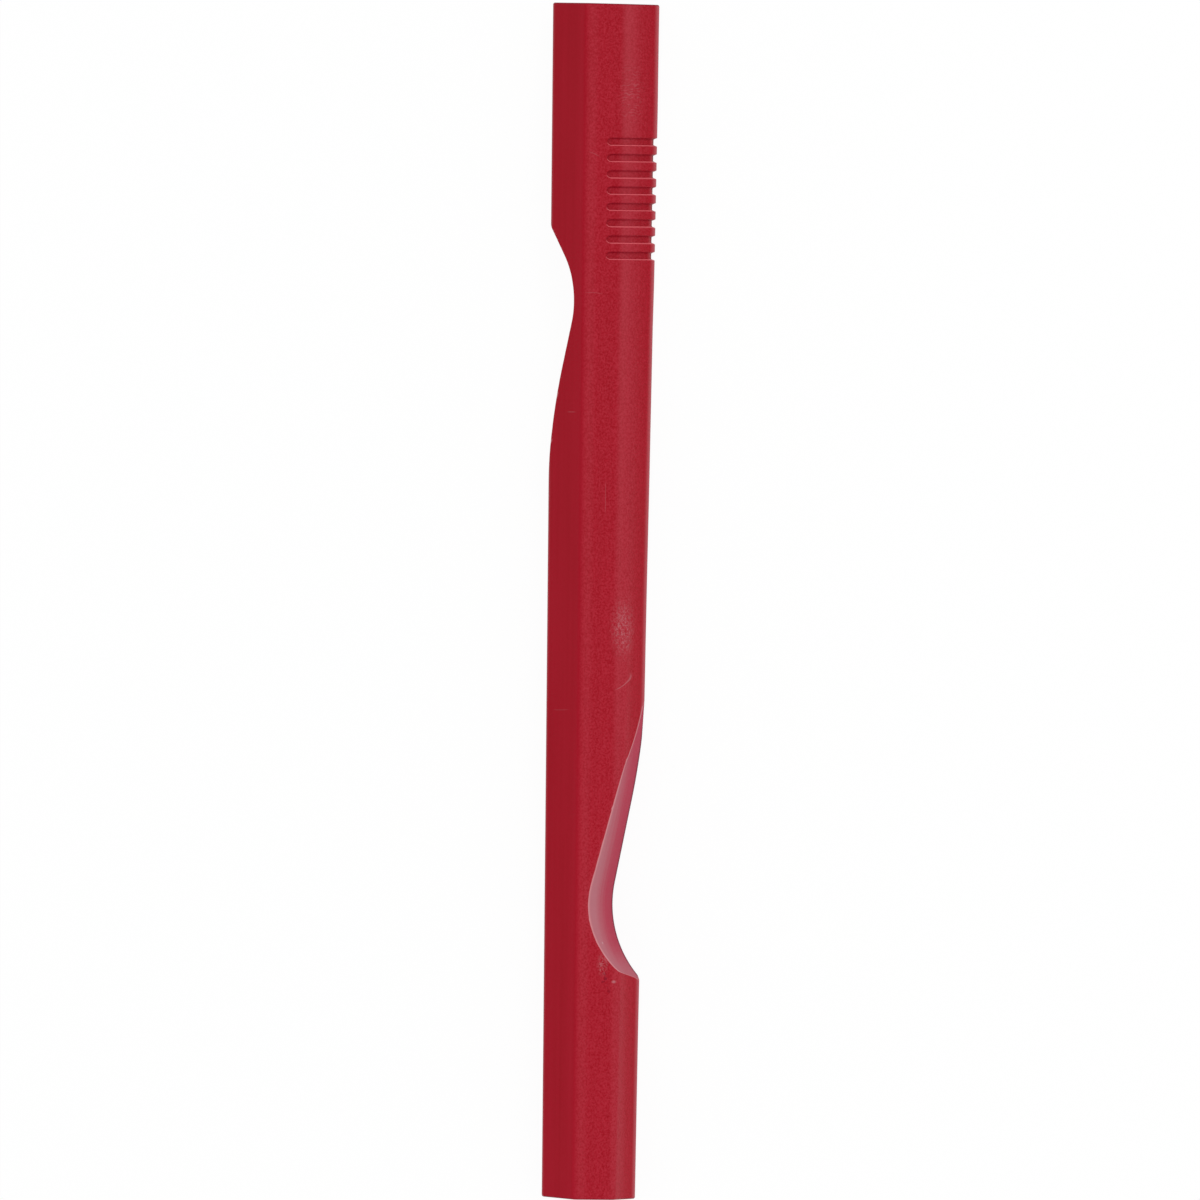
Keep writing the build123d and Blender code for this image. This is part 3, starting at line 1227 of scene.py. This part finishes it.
@dataclass(frozen=True)
class RedPlastic:
    """Satin red plastic: finely drawn along the bar, and duller where it was milled, where a painted
    reflection makes it paler.

    A pair with a gain and a base says how a value grows to the right of the ridge.
    """

    half: float
    ridge_x: float
    walls: MilledWalls = MilledWalls()
    wear: Wear = Wear()

    grain: Noise = Noise((3.5, 3.1, 3.5), swirl=0.4)
    drawn: Noise = Noise((1.6, 0.022, 1.6), 3.0)
    over_ridge: Span = (-0.6, 0.8)

    # Painted shade in the grooves, and a painted highlight on their lower rims
    groove_shade_share: float = 0.3
    lower_rim_highlight: Colour = (0.72, 0.13, 0.16)
    lower_rim_highlight_levels: Span = (-0.05, -0.85)
    sawn: Colour = (0.33, 0.005, 0.016)
    sawn_levels: Span = (0.6, 0.9)
    # Painted shade on the broken end edges
    end_edge_shade_share: float = 0.62
    end_edge_shade_levels: Span = (0.1, 0.4)

    gloss: Span = (0.028, 0.052)
    rough: Span = (0.1, 0.38)
    shoulder_polish: float = 0.16
    grain_rough: float = 0.25
    milled_rough: float = 0.62

    bump_grain: Span = (0.6, 0.4)
    bump_drawn: float = 0.5
    cutter: Noise = Noise((2.4, 2.4, 0.06))
    bump_cutter: float = 1.2
    bump_height: float = 0.02
    bump_strength: float = 0.8

    def spot(self, desk: Desk) -> Spot:
        """Reads the point of the skin from its Object coordinates and its marks.

        Args:
            desk: The material's nodes.

        Returns:
            The point.
        """
        metres = desk.node("TexCoord", {})["Object"]
        in_mm = desk.vector("MULTIPLY", metres, (1 / MM, 1 / MM, 1 / MM))["Vector"]
        place = desk.vector("SUBTRACT", in_mm, (self.ridge_x, 0.0, 0.0))["Vector"]
        aside, along, height = desk.node("SeparateXYZ", {0: place})
        return Spot(
            desk, place, aside, along, height, rightwards=desk.step(aside, *self.over_ridge),
            grain=desk.noise(place, self.grain), drawn=desk.noise(place, self.drawn),
            milled=desk.mark("milled"), shoulder=desk.mark("shoulder"),
        )

    def material(self) -> bpy.types.Material:
        """Colour, gloss, roughness and bump.

        Returns:
            The material.
        """
        made = bpy.data.materials.new(SLOT)
        made.use_nodes = True
        desk = Desk(made.node_tree)
        spot = self.spot(desk)
        colour = self.groove_colour(desk, DrawnSkin(self.half).colour(spot))
        colour = self.wear.colour(spot, self.walls.colour(spot, colour))
        shader = made.node_tree.nodes["Principled BSDF"]
        desk.feed(shader, "Base Color", self.end_colour(desk, colour))
        desk.feed(shader, "Specular IOR Level", desk.line(spot.rightwards, *self.gloss))
        desk.feed(shader, "Roughness", self.roughness(spot))
        desk.feed(shader, "Normal", self.bump(spot))
        return made

    def groove_colour(self, desk: Desk, colour: Socket) -> Socket:
        """Painted shade on groove floors and upper rims, and a painted highlight on their lower rims.

        Args:
            desk: The material's nodes.
            colour: The skin's colour so far.

        Returns:
            The colour with its grooves.
        """
        sunk = desk.mark("sunk")
        dark = desk.product(desk.math("MAXIMUM", sunk, 0.0), self.groove_shade_share)
        pale = desk.step(sunk, *self.lower_rim_highlight_levels)
        return desk.blend(pale, desk.blend(dark, colour, DARK_RED), self.lower_rim_highlight)

    def end_colour(self, desk: Desk, colour: Socket) -> Socket:
        """Painted shade on the broken end edges, and plain red on the sawn faces.

        Args:
            desk: The material's nodes.
            colour: The skin's colour so far.

        Returns:
            The colour with its ends.
        """
        end = desk.mark("end")
        broken = desk.product(desk.step(end, *self.end_edge_shade_levels), self.end_edge_shade_share)
        edged = desk.blend(broken, colour, DARK_RED)
        return desk.blend(desk.step(end, *self.sawn_levels), edged, self.sawn)

    def roughness(self, spot: Spot) -> Socket:
        """Roughest right of the ridge and where it was milled, and smoother on the rubbed shoulder.

        Args:
            spot: The point of the skin.

        Returns:
            The roughness.
        """
        desk = spot.desk
        polish = desk.product(spot.shoulder, self.shoulder_polish)
        skin = desk.math("SUBTRACT", desk.line(spot.rightwards, *self.rough), polish)
        skin = desk.total(skin, desk.swing(spot.grain, self.grain_rough))
        return desk.math("MAXIMUM", skin, desk.product(spot.milled, self.milled_rough))

    def bump(self, spot: Spot) -> Socket:
        """Fine unevenness of the skin, and cutter lines up and down the milled walls.

        Args:
            spot: The point of the skin.

        Returns:
            The normal. Inputs 2 and 3 of a Mix node are its plain numbers.
        """
        desk = spot.desk
        grain = desk.product(spot.grain, desk.line(spot.rightwards, *self.bump_grain))
        skin = desk.total(grain, desk.product(spot.drawn, self.bump_drawn))
        cutter = desk.product(desk.noise(spot.place, self.cutter), self.bump_cutter)
        height = desk.node("Mix", {0: spot.milled, 2: skin, 3: cutter})[0]
        inputs = {"Distance": self.bump_height * MM, "Strength": self.bump_strength, "Height": height}
        return desk.node("Bump", inputs)["Normal"]


@dataclass(frozen=True)
class Softbox:
    """An oblong soft lamp that faces the bar, with one side along it. Sizes are metres and watts."""

    name: str
    place: Place
    along: float
    across: float
    energy: float

    def hang(self) -> None:
        """Puts the lamp in the scene."""
        data = bpy.data.lights.new(self.name, "AREA")
        data.shape, data.size, data.size_y = "RECTANGLE", self.across, self.along
        data.energy = self.energy
        lamp = stand(self.name, data)
        lamp.location = self.place
        lamp.rotation_euler = Vector(self.place).to_track_quat("Z", "Y").to_euler()


@dataclass(frozen=True)
class Studio:
    """Plain pale floor, an even white sky and soft lamps, and the camera of the photograph.

    The floor's half side, the camera's clips and the lamps are in metres.
    """

    frame_pixels: float = 1200.0
    pixel: float = 0.1506
    roll: float = 22.0
    lean: float = 0.62
    distance: float = 3000.0
    camera_y: float = 55.0
    aim: Place = (0.88, 0.2, 5.4)
    sensor: float = 36.0
    clips: Span = (0.05, 100.0)
    floor_half: float = 12.0
    floor_drop: float = 0.02
    floor_colour: float = 0.95
    floor_roughness: float = 0.9
    floor_glow: float = 0.94
    sky: float = 0.87
    lamps: tuple[Softbox, ...] = (
        Softbox("right_softbox", (1.52, 0.1, 0.5), along=0.8, across=0.16, energy=1.7),
        Softbox("upper_softbox", (0.9, 0.8, 1.2), along=0.5, across=0.5, energy=4.8),
    )

    def camera(self) -> None:
        """Aims a long lens at the bar: rolled off the back's normal and leant in the picture."""
        roll, lean = math.radians(self.roll), math.radians(self.lean)
        aim = Vector(self.aim) * MM
        place = aim + Vector((math.sin(roll), 0.0, math.cos(roll))) * self.distance * MM
        place.y = self.camera_y * MM
        back = (place - aim).normalized()
        along = (Vector((0, 1, 0)) - back * back.y).normalized()
        aside = along.cross(back)
        up = along * math.cos(lean) - aside * math.sin(lean)
        right = aside * math.cos(lean) + along * math.sin(lean)
        data = bpy.data.cameras.new("camera")
        data.sensor_width = self.sensor
        data.lens = self.sensor * (place - aim).length / (self.frame_pixels * self.pixel * MM)
        data.clip_start, data.clip_end = self.clips
        camera = stand("camera", data)
        camera.matrix_world = Matrix((right, up, back)).transposed().to_4x4()
        camera.location = place
        bpy.context.scene.camera = camera

    def floor(self) -> bpy.types.Object:
        """A flat sheet under the bar that looks white and still takes the bar's soft shadow.

        Returns:
            The floor.
        """
        mesh = bpy.data.meshes.new("floor")
        s, z = self.floor_half, -self.floor_drop * MM
        mesh.from_pydata([(-s, -s, z), (s, -s, z), (s, s, z), (-s, s, z)], [], [(0, 1, 2, 3)])
        made = bpy.data.materials.new("floor_paper")
        made.use_nodes = True
        desk = Desk(made.node_tree)
        paper = made.node_tree.nodes["Principled BSDF"]
        desk.feed(paper, "Base Color", (self.floor_colour,) * 3 + (1.0,))
        desk.feed(paper, "Roughness", self.floor_roughness)
        desk.feed(paper, "Specular IOR Level", 0.0)
        glow = desk.node("Emission", {})["Emission"]
        share = desk.product(desk.seen(), self.floor_glow)
        both = desk.node("MixShader", {"Fac": share, 1: paper.outputs["BSDF"], 2: glow})["Shader"]
        desk.feed(made.node_tree.nodes["Material Output"], "Surface", both)
        mesh.materials.append(made)
        return stand("floor", mesh)

    def world(self) -> None:
        """An even sky: white to the eye, a little less bright as light."""
        world = bpy.data.worlds.new("sky")
        world.use_nodes = True
        desk = Desk(world.node_tree)
        sky = world.node_tree.nodes["Background"]
        desk.feed(sky, "Color", (1.0, 1.0, 1.0, 1.0))
        levels = {"Value": desk.seen(), "To Min": self.sky, "To Max": 1.0}
        desk.feed(sky, "Strength", desk.node("MapRange", levels)["Result"])
        bpy.context.scene.world = world

    def build(self) -> None:
        """Sets up the whole studio."""
        bpy.context.scene.view_settings.view_transform = "Standard"
        self.world()
        self.floor()
        for lamp in self.lamps:
            lamp.hang()
        self.camera()


def main() -> None:
    """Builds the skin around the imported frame, dresses it and sets up the studio."""
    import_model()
    low, high = (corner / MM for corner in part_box(NODE))
    bar = BarSkin(half=(high.y - low.y) / 2, ridge_x=low.x + BarSkin.wide.left)
    skin = bar.build()
    skin.data.materials.append(RedPlastic(bar.half, bar.ridge_x).material())
    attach(skin, BODY)
    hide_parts(NODE)
    log.info("%s: %d faces, rides on %s", skin.name, len(skin.data.polygons), BODY)
    Studio().build()


if __name__ == "__main__":
    logging.basicConfig(level=logging.INFO)
    main()
